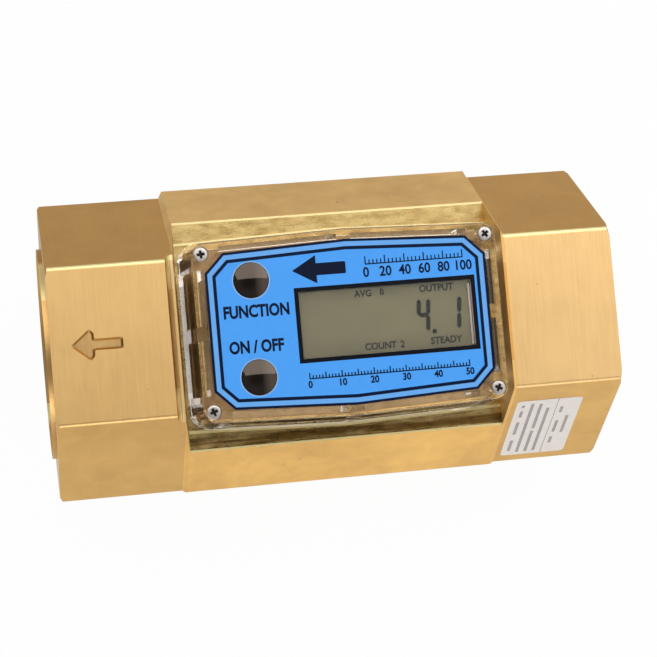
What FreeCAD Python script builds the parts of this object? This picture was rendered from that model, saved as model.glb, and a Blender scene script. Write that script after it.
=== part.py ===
import FreeCAD, Part
import math
import os
import Sketcher

os.makedirs("parts", exist_ok=True)
doc = FreeCAD.newDocument("TurbineFlowMeter")
V = FreeCAD.Vector

# The flow axis is X (liquid enters at +X and leaves at -X), the display faces +Z,
# and the body lies on the back flat of its centre block, which is Z = 0.
# Sizes are in millimetres. Heights inside the meter are counted from the flow axis,
# and every sub-part's Placement lifts it by axis_height.

DRIVING = {
    # brass body
    "end_across": 76.2,
    "hex_length": 162.6,
    "face_length": 165.1,
    "face_radius": 31.0,
    "hex_round": 1.4,
    "block_across": 78.5,
    "block_shift": 0.7,
    "block_left": -45.1,
    "block_right": 49.7,
    "shoulder_run": 1.1,
    "floor_height": 21.1,
    "saddle_left": -43.7,
    "saddle_right": 48.7,
    "cove_left": -45.4,
    "cove_bottom": 35.3,
    "cove_radius": 2.5,
    "corner_chamfer": 1.3,
    "corner_run": 0.8,
    "socket_radius": 29.4,
    "socket_depth": 26.0,
    "socket_step": 1.5,
    "mouth_radius": 30.4,
    "mouth_depth": 1.2,
    "bore_radius": 18.5,
    "rotor_bore_radius": 17.8,
    "bore_end": 51.5,
    "ring_groove": 49.9,
    "ring_thickness": 1.1,
    "groove_depth": 1.0,
    "ring_play": 0.06,
    "ring_slack": 0.1,
    "ring_reach": 1.5,
    "ring_gap": 6.0,
    "lug_height": -15.9,
    "lug_spread": 4.4,
    "lug_radius": 1.75,
    "lug_eye_radius": 0.85,
    "arrow_tip": -75.8,
    "arrow_barb": -70.4,
    "arrow_neck": -69.2,
    "arrow_tail": -61.2,
    "arrow_spread": 4.5,
    "arrow_back": 3.2,
    "arrow_shaft": 1.6,
    "arrow_depth": 0.8,
    "arrow_round": 0.7,
    "arrow_draft": 38.0,
    "screw_hole_depth": 8.0,
    # display housing
    "housing_x": 2.6,
    "housing_y": 0.45,
    "seat_gap": 0.03,
    "gasket_thickness": 0.8,
    "gasket_width": 3.2,
    "gasket_inset": 2.9,
    "gasket_corner": 1.5,
    "front_height": 42.5,
    "base_half_length": 45.6,
    "base_half_width": 27.0,
    "gable_rise": 1.5,
    "wall_draft": 5.5,
    "corner_round": 6.0,
    "rim_round": 0.7,
    "plate_thickness": 2.6,
    "cavity_half_length": 39.3,
    "cavity_half_width": 21.0,
    "cavity_corner": 5.4,
    "core_gap": 1.0,
    "core_width": 1.7,
    "core_rib": 2.0,
    "core_side_end": 17.6,
    "core_long_end": 35.5,
    "label_half_length": 40.1,
    "label_half_width": 21.9,
    "label_corner": 5.4,
    "label_thickness": 0.25,
    "label_recess": 0.3,
    "screw_x": 40.7,
    "screw_y": 22.0,
    "screw_radius": 1.1,
    "screw_clearance": 0.15,
    "thread_clearance": 0.05,
    "head_clearance": 0.3,
    "screw_head_radius": 1.9,
    "screw_head_height": 1.3,
    "screw_head_drop": 0.25,
    "recess_arm": 1.15,
    "recess_half_slot": 0.3,
    # window and display
    "window_x": 10.45,
    "window_length": 52.0,
    "window_width": 21.2,
    "frame_width": 1.15,
    "fit": 0.1,
    "frame_bottom": 37.9,
    "lens_top": 42.2,
    "lens_thickness": 1.1,
    "cell_top": 39.7,
    "cell_thickness": 1.8,
    "reflector_thickness": 0.4,
    "strip_width": 2.2,
    "strip_spacing": 8.0,
    "strip_inset": 4.0,
    # buttons
    "button_x": -27.3,
    "upper_button_y": 13.75,
    "lower_button_y": -13.45,
    "button_radius": 4.9,
    "button_hole_radius": 5.05,
    "button_flange_radius": 5.7,
    "button_flange_bottom": 38.3,
    "button_flange_top": 39.6,
    "button_edge_height": 42.7,
    "button_top": 43.7,
    # electronics
    "case_wall": 1.2,
    "case_floor": 1.5,
    "case_gap": 0.25,
    "case_bottom": 22.2,
    "case_top": 39.6,
    "board_bottom": 33.8,
    "board_thickness": 1.6,
    "board_fit": 0.3,
    "component_height": 1.8,
    "switch_half_width": 3.0,
    "switch_height": 1.4,
    "plunger_radius": 1.7,
    "plunger_height": 1.9,
    "coin_radius": 12.25,
    "coin_thickness": 5.0,
    "coin_spacing": 24.5,
    "coin_bottom": 24.3,
    "coin_step": 1.6,
    "coin_step_height": 0.4,
    "contact_thickness": 0.4,
    "contact_width": 5.0,
    "contact_rise": 1.6,
    "coil_bottom": 24.2,
    "coil_height": 8.4,
    "coil_radius": 7.6,
    "core_radius": 2.2,
    "core_reach": 0.6,
    "bobbin_wall": 1.0,
    "bobbin_flange": 0.6,
    # turbine
    "rotor_x": 2.6,
    "rotor_length": 11.0,
    "rotor_radius": 17.1,
    "rotor_hub_radius": 6.0,
    "blade_count": 8,
    "blade_lead": 92.0,
    "blade_thickness": 1.5,
    "blade_flat_share": 0.6,
    "blade_stations": 4,
    "blade_root_depth": 1.2,
    "blade_setback": 0.9,
    "hub_chamfer": 0.8,
    "press_gap": 0.02,
    "shaft_radius": 1.2,
    "shaft_half_length": 13.0,
    "shaft_clearance": 0.04,
    "shaft_end_play": 0.6,
    "bearing_radius": 3.0,
    "bearing_length": 5.0,
    "hub_gap": 1.2,
    "support_wall": 1.5,
    "support_gap": 0.08,
    "support_hub_length": 22.0,
    "nose_length": 6.5,
    "nose_radius": 1.6,
    "vane_count": 5,
    "vane_thickness": 1.8,
    "vane_setback": 1.5,
    "vane_length": 13.5,
    "vane_slant": 2.5,
    "vane_bite": 0.5,
    "pin_radius": 1.0,
    "pin_inner": 3.2,
    "pin_outer": 10.5,
}

sheet = doc.addObject("Spreadsheet::Sheet", "Sizes")
for row, (alias, value) in enumerate(DRIVING.items(), start=1):
    sheet.set("A%d" % row, alias)
    sheet.set("B%d" % row, str(value))
    sheet.setAlias("B%d" % row, alias)
doc.recompute()


class Size:
    """A number together with the sheet expression that gives it."""

    def __init__(self, value, text):
        self.value = float(value)
        self.text = text

    def _join(self, sign, other, value):
        other = as_size(other)
        return Size(value, "(%s %s %s)" % (self.text, sign, other.text))

    def __add__(self, other):
        return self._join("+", other, self.value + as_size(other).value)

    def __sub__(self, other):
        return self._join("-", other, self.value - as_size(other).value)

    def __mul__(self, other):
        return self._join("*", other, self.value * as_size(other).value)

    def __truediv__(self, other):
        return self._join("/", other, self.value / as_size(other).value)

    def __neg__(self):
        return Size(-self.value, "(0 - %s)" % self.text)

    def __rsub__(self, other):
        return as_size(other) - self

    __radd__ = __add__
    __rmul__ = __mul__


def as_size(number):
    return number if isinstance(number, Size) else Size(number, repr(float(number)))


class Sheet:
    """Gives each alias of the sheet as a Size."""

    def __getattr__(self, alias):
        return Size(DRIVING[alias], "Sizes.%s" % alias)


d = Sheet()
AXIS_HEIGHT = d.block_across / 2
HOUSING_BOTTOM = d.floor_height + d.seat_gap
PLATE_BOTTOM = d.front_height - d.plate_thickness
LABEL_BOTTOM = d.front_height - d.label_recess
BOARD_TOP = d.board_bottom + d.board_thickness
CELL_BOTTOM = d.cell_top - d.cell_thickness
REFLECTOR_BOTTOM = CELL_BOTTOM - d.reflector_thickness
SUPPORT_RADIUS = d.bore_radius - d.support_gap
SUB_PARTS = []


# ---- helpers for bodies, sketches and features --------------------------------------

def place(obj, x=0, y=0):
    obj.setExpression("Placement.Base.x", as_size(x).text)
    obj.setExpression("Placement.Base.y", as_size(y).text)
    obj.setExpression("Placement.Base.z", AXIS_HEIGHT.text)
    SUB_PARTS.append(obj)
    return obj


def new_body(label, x=0, y=0):
    body = doc.addObject("PartDesign::Body", label)
    body.Label = label
    return place(body, x, y)


def housing_body(label):
    return new_body(label, d.housing_x, d.housing_y)


def origin_plane(body, role):
    return next(plane for plane in body.Origin.OriginFeatures if plane.Role == role)


def new_sketch(body, plane, name, offset=0):
    sketch = body.newObject("Sketcher::SketchObject", name)
    sketch.AttachmentSupport = (origin_plane(body, plane), [""])
    sketch.MapMode = "FlatFace"
    offset = as_size(offset)
    if offset.value:
        sketch.setExpression("AttachmentOffset.Base.z", offset.text)
    return sketch


def bind(sketch, index, text):
    sketch.setExpression("Constraints[%d]" % index, text)


def fix_point(sketch, geo, point, x, y):
    """Hold one point of the geometry at sheet-driven coordinates."""
    for kind, size in (("DistanceX", x), ("DistanceY", y)):
        size = as_size(size)
        index = sketch.addConstraint(
            Sketcher.Constraint(kind, -1, 1, geo, point, size.value))
        bind(sketch, index, size.text)


def polygon(sketch, corners):
    """A closed outline through corners, each one bound to the sheet."""
    corners = [(as_size(x), as_size(y)) for x, y in corners]
    first = None
    count = len(corners)
    for k in range(count):
        (x0, y0), (x1, y1) = corners[k], corners[(k + 1) % count]
        geo = sketch.addGeometry(
            Part.LineSegment(V(x0.value, y0.value, 0), V(x1.value, y1.value, 0)), False)
        first = geo if first is None else first
    for k in range(count):
        following = first + (k + 1) % count
        sketch.addConstraint(Sketcher.Constraint("Coincident", first + k, 2, following, 1))
        fix_point(sketch, first + k, 1, *corners[k])


def line_arc_outline(sketch, corners, radius):
    """A closed outline: straight through the corners, then one arc back to the first."""
    corners = [(as_size(x), as_size(y)) for x, y in corners]
    points = [V(x.value, y.value, 0) for x, y in corners]
    for start, end in zip(points, points[1:]):
        sketch.addGeometry(Part.LineSegment(start, end), False)
    last = len(points) - 2
    for k in range(last):
        sketch.addConstraint(Sketcher.Constraint("Coincident", k, 2, k + 1, 1))
    for k in range(last + 1):
        fix_point(sketch, k, 1, *corners[k])
    fix_point(sketch, last, 2, *corners[-1])
    chord = points[0] - points[-1]
    sagitta = radius.value - math.sqrt(radius.value ** 2 - (chord.Length / 2) ** 2)
    outward = V(-chord.y, chord.x, 0).normalize() * -sagitta
    middle = points[-1] + chord * 0.5 + outward
    arc = sketch.addGeometry(Part.Arc(points[-1], middle, points[0]), False)
    forward = sketch.Geometry[arc].StartPoint.distanceToPoint(points[-1]) < 1e-6
    near, far = (1, 2) if forward else (2, 1)
    sketch.addConstraint(Sketcher.Constraint("Coincident", arc, near, last, 2))
    sketch.addConstraint(Sketcher.Constraint("Coincident", arc, far, 0, 1))
    index = sketch.addConstraint(Sketcher.Constraint("Radius", arc, radius.value))
    bind(sketch, index, radius.text)


def circle(sketch, x, y, radius):
    x, y, radius = as_size(x), as_size(y), as_size(radius)
    geo = sketch.addGeometry(
        Part.Circle(V(x.value, y.value, 0), V(0, 0, 1), radius.value), False)
    fix_point(sketch, geo, 3, x, y)
    index = sketch.addConstraint(Sketcher.Constraint("Radius", geo, radius.value))
    bind(sketch, index, radius.text)


def rectangle(sketch, x0, y0, x1, y1):
    polygon(sketch, [(x0, y0), (x1, y0), (x1, y1), (x0, y1)])


def hexagon(sketch, across, shift=0):
    """Hexagon with corners up and down and flats towards the display and the back."""
    half = across / 2
    reach = across / math.sqrt(3)
    polygon(sketch, [
        (shift + reach, 0), (shift + reach / 2, half), (shift - reach / 2, half),
        (shift - reach, 0), (shift - reach / 2, -half), (shift + reach / 2, -half)])


def gabled(sketch, half_length, half_width, corner=0):
    """Display outline: long edges rise to a shallow peak, corners may be cut."""
    rise = d.gable_rise
    half_length, half_width = as_size(half_length), as_size(half_width)
    peak = half_width + rise
    if not as_size(corner).value:
        polygon(sketch, [
            (-half_length, -half_width), (0, -peak), (half_length, -half_width),
            (half_length, half_width), (0, peak), (-half_length, half_width)])
        return
    inner, lower = half_length - corner, half_width - corner
    polygon(sketch, [
        (-half_length, -lower), (-inner, -half_width), (0, -peak), (inner, -half_width),
        (half_length, -lower), (half_length, lower), (inner, half_width), (0, peak),
        (-inner, half_width), (-half_length, lower)])


def feature(body, kind, name, sketch, length=None, middle=False, backwards=False):
    made = body.newObject("PartDesign::" + kind, name)
    made.Profile = sketch
    if length is not None:
        made.setExpression("Length", as_size(length).text)
    made.Midplane = middle
    made.Reversed = backwards
    sketch.Visibility = False
    body.Tip = made
    return made


def pad(body, name, sketch, length, middle=False):
    return feature(body, "Pad", name, sketch, length, middle)


def pocket(body, name, sketch, length, middle=False, upwards=False):
    """Cut a sketch; a plain pocket goes against the sketch normal, upwards with it."""
    doc.recompute()
    before = body.Shape.Volume
    cut = feature(body, "Pocket", name, sketch, length, middle, upwards)
    doc.recompute()
    if not body.Shape.Volume < before - 1e-6:
        raise RuntimeError(name + " removes nothing")
    return cut


def turned(body, name, corners, plane="XZ_Plane"):
    """Revolve an outline of (along, out) corners about the sketch's first axis."""
    sketch = new_sketch(body, plane, name + "Profile")
    polygon(sketch, corners)
    made = feature(body, "Revolution", name, sketch)
    made.ReferenceAxis = (sketch, ["H_Axis"])
    made.Angle = 360
    return made


def turned_upright(body, name, corners, dome=None):
    """Revolve an outline of (out, height) corners about the vertical; a dome closes it."""
    sketch = new_sketch(body, "XZ_Plane", name + "Profile")
    if dome is None:
        polygon(sketch, corners)
    else:
        line_arc_outline(sketch, corners, dome)
    made = feature(body, "Revolution", name, sketch)
    made.ReferenceAxis = (sketch, ["V_Axis"])
    made.Angle = 360
    return made


def edges_where(shape, test):
    return ["Edge%d" % (k + 1) for k, edge in enumerate(shape.Edges) if test(edge)]


def direction(edge):
    first, last = edge.Vertexes[0].Point, edge.Vertexes[-1].Point
    return (last - first).normalize() if (last - first).Length > 1e-6 else V(0, 0, 0)


def round_edges(body, name, radius, test):
    doc.recompute()
    base = body.Tip
    names = edges_where(base.Shape, test)
    if not names:
        raise RuntimeError(name + " finds no edges")
    made = body.newObject("PartDesign::Fillet", name)
    made.Base = (base, names)
    made.setExpression("Radius", as_size(radius).text)
    body.Tip = made
    return made


def chamfer_edges(body, name, size, test):
    doc.recompute()
    base = body.Tip
    made = body.newObject("PartDesign::Chamfer", name)
    made.Base = (base, edges_where(base.Shape, test))
    made.setExpression("Size", as_size(size).text)
    body.Tip = made
    return made


def draft_walls(body, name, plane, angle, height):
    """Lean every wall that stands from the plane to the given height inwards."""
    doc.recompute()
    base = body.Tip
    walls = ["Face%d" % (k + 1) for k, face in enumerate(base.Shape.Faces)
             if face.BoundBox.ZLength > height.value - 0.01]
    made = body.newObject("PartDesign::Draft", name)
    made.Base = (base, walls)
    made.NeutralPlane = (plane, [""])
    made.setExpression("Angle", as_size(angle).text)
    body.Tip = made
    return made


def corners_of_rectangle(x, y):
    return [(x, y), (-x, y), (-x, -y), (x, -y)]


# ---- brass body ---------------------------------------------------------------------

def arrow_outline():
    """Flow arrow: a pointed head on a short shaft, pointing to the outlet."""
    upper = [(d.arrow_barb, d.arrow_spread), (d.arrow_neck, d.arrow_back),
             (d.arrow_neck, d.arrow_shaft), (d.arrow_tail, d.arrow_shaft)]
    lower = [(x, -y) for x, y in reversed(upper)]
    return [(d.arrow_tip, 0)] + upper + lower


def make_meter_body():
    body = new_body("meter_body")
    ends = new_sketch(body, "YZ_Plane", "EndHexagon")
    hexagon(ends, d.end_across)
    pad(body, "HexagonBar", ends, d.hex_length, middle=True)
    round_edges(body, "BarEdges", d.hex_round,
                lambda edge: abs(direction(edge).x) > 0.99)

    stations = [(d.block_left, d.end_across, 0),
                (d.block_left + d.shoulder_run, d.block_across, d.block_shift),
                (d.block_right - d.shoulder_run, d.block_across, d.block_shift),
                (d.block_right, d.end_across, 0)]
    sections = []
    for k, (x, across, shift) in enumerate(stations):
        section = new_sketch(body, "YZ_Plane", "BlockSection%d" % k, x)
        hexagon(section, across, as_size(shift))
        sections.append(section)
    block = body.newObject("PartDesign::AdditiveLoft", "CentreBlock")
    block.Profile = sections[0]
    block.Sections = sections[1:]
    block.Ruled = True
    body.Tip = block
    block_length = (d.block_right - d.block_left - d.shoulder_run * 2).value
    round_edges(body, "BlockEdges", d.hex_round,
                lambda edge: abs(direction(edge).x) > 0.99
                and abs(edge.Length - block_length) < 0.01)

    corner = d.end_across / math.sqrt(3)
    end, start = d.hex_length / 2, d.hex_length / 2 - d.corner_run
    for side, label in ((1, "Inlet"), (-1, "Outlet")):
        turned_away = new_sketch(body, "XZ_Plane", label + "CornerProfile")
        polygon(turned_away, [(start * side, corner), (end * side, corner - d.corner_chamfer),
                              (end * side, corner)])
        chamfer = feature(body, "Groove", label + "CornerChamfer", turned_away)
        chamfer.ReferenceAxis = (turned_away, ["H_Axis"])
        chamfer.Angle = 360

    faces = new_sketch(body, "YZ_Plane", "EndFaces")
    circle(faces, 0, 0, d.face_radius)
    pad(body, "RaisedEndFaces", faces, d.face_length, middle=True)

    saddle = new_sketch(body, "XZ_Plane", "SaddleProfile")
    above = d.end_across
    lip = d.cove_left - d.cove_radius
    line_arc_outline(saddle, [
        (d.cove_left, d.cove_bottom), (d.saddle_left, d.floor_height),
        (d.saddle_right, d.floor_height), (d.saddle_right, above), (lip, above),
        (lip, d.cove_bottom + d.cove_radius)], d.cove_radius)
    pocket(body, "Saddle", saddle, d.end_across * 1.5, middle=True)

    bore = new_sketch(body, "XZ_Plane", "BoreProfile")
    face = d.face_length / 2
    socket_end = face - d.socket_depth
    groove = d.bore_radius + d.groove_depth
    step = d.rotor_length / 2 + d.hub_gap
    right = [
        (d.rotor_x + step, d.rotor_bore_radius), (d.rotor_x + step, d.bore_radius),
        (d.ring_groove, d.bore_radius), (d.ring_groove, groove),
        (d.ring_groove + d.ring_thickness, groove),
        (d.ring_groove + d.ring_thickness, d.bore_radius),
        (d.bore_end, d.bore_radius),
        (socket_end, d.socket_radius - d.socket_step), (socket_end, d.socket_radius),
        (face - d.mouth_depth, d.socket_radius), (face, d.mouth_radius),
        (face + 1, d.mouth_radius)]
    left = [
        (d.rotor_x - step, d.rotor_bore_radius), (d.rotor_x - step, d.bore_radius)]
    left += [(-x, r) for x, r in right[2:]]
    outline = [(face + 1, 0)] + right[::-1] + left + [(-face - 1, 0)]
    polygon(bore, outline)
    cut = feature(body, "Groove", "FlowBore", bore)
    cut.ReferenceAxis = (bore, ["H_Axis"])
    cut.Angle = 360

    holes = new_sketch(body, "XY_Plane", "ScrewHoles", d.floor_height)
    for x, y in corners_of_rectangle(d.screw_x, d.screw_y):
        circle(holes, d.housing_x + x, d.housing_y + y, d.screw_radius + d.thread_clearance)
    pocket(body, "TappedHoles", holes, d.screw_hole_depth)

    arrow = new_sketch(body, "XY_Plane", "ArrowOutline", d.end_across / 2)
    polygon(arrow, arrow_outline())
    recess = pocket(body, "FlowArrow", arrow, d.arrow_depth)
    recess.setExpression("TaperAngle", (-d.arrow_draft).text)
    floor = (d.end_across / 2 - d.arrow_depth).value
    round_edges(body, "ArrowCorners", d.arrow_round,
                lambda edge: edge.BoundBox.ZMin < floor + 0.01
                and abs(edge.BoundBox.ZLength - d.arrow_depth.value) < 0.01
                and edge.BoundBox.XMax < d.arrow_tail.value + 1)


# ---- display housing ----------------------------------------------------------------

def core_slots():
    """Cored slots behind the rim, two along each side, as lists of corners."""
    slots = []
    inner_x = d.cavity_half_length + d.core_gap
    outer_x = inner_x + d.core_width
    for sx in (-1, 1):
        for sy in (-1, 1):
            slots.append([(inner_x * sx, d.core_rib * sy), (outer_x * sx, d.core_rib * sy),
                          (outer_x * sx, d.core_side_end * sy),
                          (inner_x * sx, d.core_side_end * sy)])
    slope = DRIVING["gable_rise"] / DRIVING["base_half_length"]
    inner_y = d.cavity_half_width + d.gable_rise + d.core_gap
    for sx in (-1, 1):
        for sy in (-1, 1):
            near, far = d.core_rib, d.core_long_end
            low_near, low_far = inner_y - near * slope, inner_y - far * slope
            slots.append([(near * sx, low_near * sy), (far * sx, low_far * sy),
                          (far * sx, (low_far + d.core_width) * sy),
                          (near * sx, (low_near + d.core_width) * sy)])
    return slots


def gasket_edge(sketch, inset):
    gabled(sketch, d.base_half_length - inset, d.base_half_width - inset, d.gasket_corner)


def make_display_housing():
    body = housing_body("display_housing")
    height = d.front_height - HOUSING_BOTTOM
    outline = new_sketch(body, "XY_Plane", "BaseOutline", HOUSING_BOTTOM)
    gabled(outline, d.base_half_length, d.base_half_width)
    pad(body, "Block", outline, height)
    round_edges(body, "Corners", d.corner_round,
                lambda edge: abs(direction(edge).z) > 0.9
                and abs(edge.CenterOfMass.x) > 20)
    base = body.newObject("PartDesign::Plane", "BasePlane")
    base.AttachmentSupport = (origin_plane(body, "XY_Plane"), [""])
    base.MapMode = "FlatFace"
    base.setExpression("AttachmentOffset.Base.z", HOUSING_BOTTOM.text)
    draft_walls(body, "DraftedWalls", base, d.wall_draft, height)
    round_edges(body, "FrontRim", d.rim_round,
                lambda edge: edge.BoundBox.ZMin > d.front_height.value - 0.01)

    inside = PLATE_BOTTOM - HOUSING_BOTTOM
    cavity = new_sketch(body, "XY_Plane", "CavityOutline", HOUSING_BOTTOM)
    gabled(cavity, d.cavity_half_length, d.cavity_half_width, d.cavity_corner)
    pocket(body, "Cavity", cavity, inside, upwards=True)

    slots = new_sketch(body, "XY_Plane", "CoreSlots", HOUSING_BOTTOM)
    for corners in core_slots():
        polygon(slots, corners)
    pocket(body, "Cores", slots, inside, upwards=True)

    seat = new_sketch(body, "XY_Plane", "GasketSeat", HOUSING_BOTTOM)
    gasket_edge(seat, d.gasket_inset - d.fit)
    pocket(body, "GasketRabbet", seat, d.gasket_thickness, upwards=True)

    recess = new_sketch(body, "XY_Plane", "LabelRecess", d.front_height)
    gabled(recess, d.label_half_length + d.fit, d.label_half_width + d.fit, d.label_corner)
    pocket(body, "LabelSeat", recess, d.label_recess)

    openings = new_sketch(body, "XY_Plane", "FrontOpenings", d.front_height)
    half_l, half_w = d.window_length / 2, d.window_width / 2
    rectangle(openings, d.window_x - half_l, -half_w, d.window_x + half_l, half_w)
    for y in (d.upper_button_y, d.lower_button_y):
        circle(openings, d.button_x, y, d.button_hole_radius)
    pocket(body, "WindowAndButtonHoles", openings, d.plate_thickness + 1)

    holes = new_sketch(body, "XY_Plane", "ScrewClearance", d.front_height)
    heads = new_sketch(body, "XY_Plane", "HeadRecess", d.front_height)
    for x, y in corners_of_rectangle(d.screw_x, d.screw_y):
        circle(holes, x, y, d.screw_radius + d.screw_clearance)
        circle(heads, x, y, d.screw_head_radius + d.head_clearance)
    pocket(body, "ScrewPassages", holes, height)
    pocket(body, "ScrewCounterbores", heads, d.screw_head_drop + d.screw_head_height)


def make_plate(label, bottom, thickness, draw, cut=None):
    """A flat piece of the display group, with optional openings."""
    body = housing_body(label)
    outline = new_sketch(body, "XY_Plane", label + "Outline", bottom)
    draw(outline)
    pad(body, label + "Plate", outline, thickness)
    if cut is not None:
        openings = new_sketch(body, "XY_Plane", label + "Openings", bottom)
        cut(openings)
        pocket(body, label + "Cuts", openings, thickness, upwards=True)
    return body


def window_rectangle(sketch, shrink):
    half_l = d.window_length / 2 - shrink
    half_w = d.window_width / 2 - shrink
    rectangle(sketch, d.window_x - half_l, -half_w, d.window_x + half_l, half_w)


def label_openings(sketch):
    window_rectangle(sketch, 0)
    for y in (d.upper_button_y, d.lower_button_y):
        circle(sketch, d.button_x, y, d.button_hole_radius)


def make_display_group():
    inside = d.frame_width + d.fit
    make_plate("face_label", LABEL_BOTTOM, d.label_thickness,
               lambda s: gabled(s, d.label_half_length, d.label_half_width, d.label_corner),
               label_openings)
    make_plate("window_frame", d.frame_bottom,
               d.front_height - d.fit - d.frame_bottom,
               lambda s: window_rectangle(s, d.fit),
               lambda s: window_rectangle(s, d.frame_width))
    make_plate("window_lens", d.lens_top - d.lens_thickness, d.lens_thickness,
               lambda s: window_rectangle(s, inside))
    make_plate("display_cell", CELL_BOTTOM, d.cell_thickness,
               lambda s: window_rectangle(s, inside))
    make_plate("display_reflector", REFLECTOR_BOTTOM, d.reflector_thickness,
               lambda s: window_rectangle(s, inside + 1))

    strips = housing_body("display_connectors")
    outline = new_sketch(strips, "XY_Plane", "Strips", BOARD_TOP)
    half_l, half_w = d.window_length / 2 - d.strip_inset, d.strip_width / 2
    for side in (-1, 1):
        y = d.strip_spacing * side
        rectangle(outline, d.window_x - half_l, y - half_w, d.window_x + half_l, y + half_w)
    pad(strips, "ConnectorStrips", outline, REFLECTOR_BOTTOM - BOARD_TOP)


def make_button(label, y):
    """Domed cap with a flange that holds it under the front plate."""
    body = new_body(label, d.housing_x + d.button_x, d.housing_y + y)
    flange, stem = d.button_flange_radius, d.button_radius
    low, high = d.button_flange_bottom, d.button_flange_top
    rise = d.button_top - d.button_edge_height
    dome = (stem * stem + rise * rise) / (rise * 2)
    turned_upright(body, label + "Cap", [
        (0, d.button_top), (0, low), (flange, low), (flange, high), (stem, high),
        (stem, d.button_edge_height)], dome)


def make_gasket():
    """Flat seal in the housing's rabbet, with holes for the screws."""
    body = housing_body("housing_gasket")
    ring = new_sketch(body, "XY_Plane", "GasketOuter", d.floor_height)
    gasket_edge(ring, d.gasket_inset)
    pad(body, "GasketSheet", ring, d.gasket_thickness - d.press_gap)
    hole = new_sketch(body, "XY_Plane", "GasketInner", d.floor_height)
    rim = d.gasket_inset + d.gasket_width
    gabled(hole, d.base_half_length - rim, d.base_half_width - rim, d.cavity_corner)
    for x, y in corners_of_rectangle(d.screw_x, d.screw_y):
        circle(hole, x, y, d.screw_radius + d.screw_clearance)
    pocket(body, "GasketOpenings", hole, d.gasket_thickness, upwards=True)


def make_housing_screws():
    body = housing_body("housing_screws")
    top = d.front_height - d.screw_head_drop
    seat = top - d.screw_head_height
    tip = d.floor_height - d.screw_hole_depth + 1
    shanks = new_sketch(body, "XY_Plane", "Shanks", tip)
    heads = new_sketch(body, "XY_Plane", "Heads", seat)
    for x, y in corners_of_rectangle(d.screw_x, d.screw_y):
        circle(shanks, x, y, d.screw_radius)
        circle(heads, x, y, d.screw_head_radius)
    pad(body, "ScrewHeads", heads, d.screw_head_height)
    body.AllowCompound = True
    pad(body, "ScrewShanks", shanks, seat - tip)
    chamfer_edges(body, "HeadCrowns", d.screw_head_height / 3,
                  lambda edge: edge.BoundBox.ZMin > top.value - 0.01)
    recess = new_sketch(body, "XY_Plane", "CrossRecess", top)
    arm, slot = d.recess_arm, d.recess_half_slot
    for x, y in corners_of_rectangle(d.screw_x, d.screw_y):
        polygon(recess, [
            (x - arm, y - slot), (x - slot, y - slot), (x - slot, y - arm),
            (x + slot, y - arm), (x + slot, y - slot), (x + arm, y - slot),
            (x + arm, y + slot), (x + slot, y + slot), (x + slot, y + arm),
            (x - slot, y + arm), (x - slot, y + slot), (x - arm, y + slot)])
    pocket(body, "CrossRecesses", recess, d.screw_head_height * 0.7)


# ---- electronics --------------------------------------------------------------------

# Under the board: left, low, right and high side of each chip; the buzzer's centre
# and radius.
CHIP_CORNERS = [(12, -7, 26, 7), (-33, 3, -27, 7), (-33, -6, -27, -3), (30, 9, 34, 16)]
BUZZER = (-22, 15, 2.6)


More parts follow.
